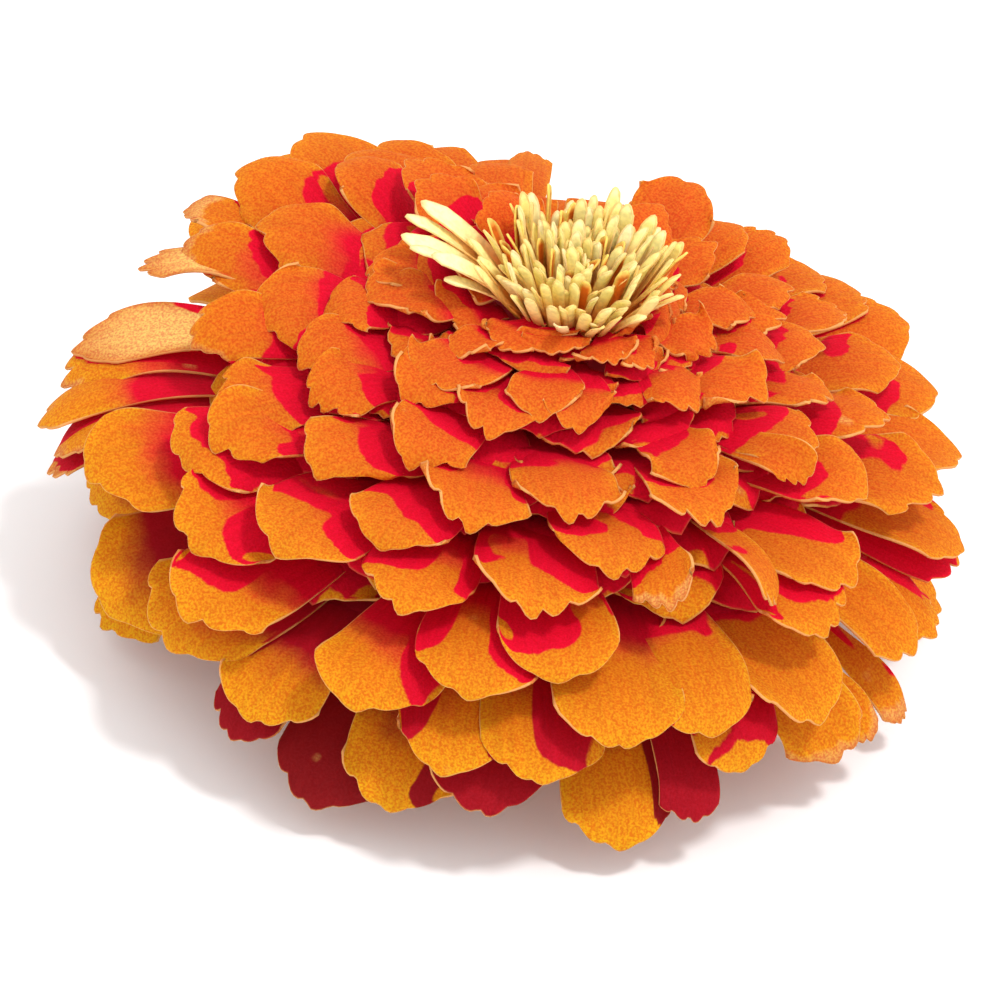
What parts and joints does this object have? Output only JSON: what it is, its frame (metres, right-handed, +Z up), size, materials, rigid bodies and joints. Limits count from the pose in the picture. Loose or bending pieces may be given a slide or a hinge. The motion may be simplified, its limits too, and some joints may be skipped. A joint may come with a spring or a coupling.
{
  "type": "zinnia flower",
  "caption": "Large double zinnia bloom picked close under the head: layered, notched orange petals over a dome, a tuft of yellow florets, a green bract cup and a short cut stem.",
  "frame": {"origin": "centre of the stem's flat cut end, on the surface that the bloom rests on", "axes": "+Z up the stem through the centre of the head; +X to the right of the picture's view, +Y away from it"},
  "size_m": [0.1066, 0.1069, 0.0564],
  "materials": {
    "petal": "matte petal",
    "floret": "matte petal",
    "bract": "matte leaf",
    "stem": "matte stem with short hairs"
  },
  "bodies": {
    "root": {"ray_petals": "petal", "disc_florets": "floret", "involucre": "bract", "stem": "stem"}
  },
  "joints": []
}
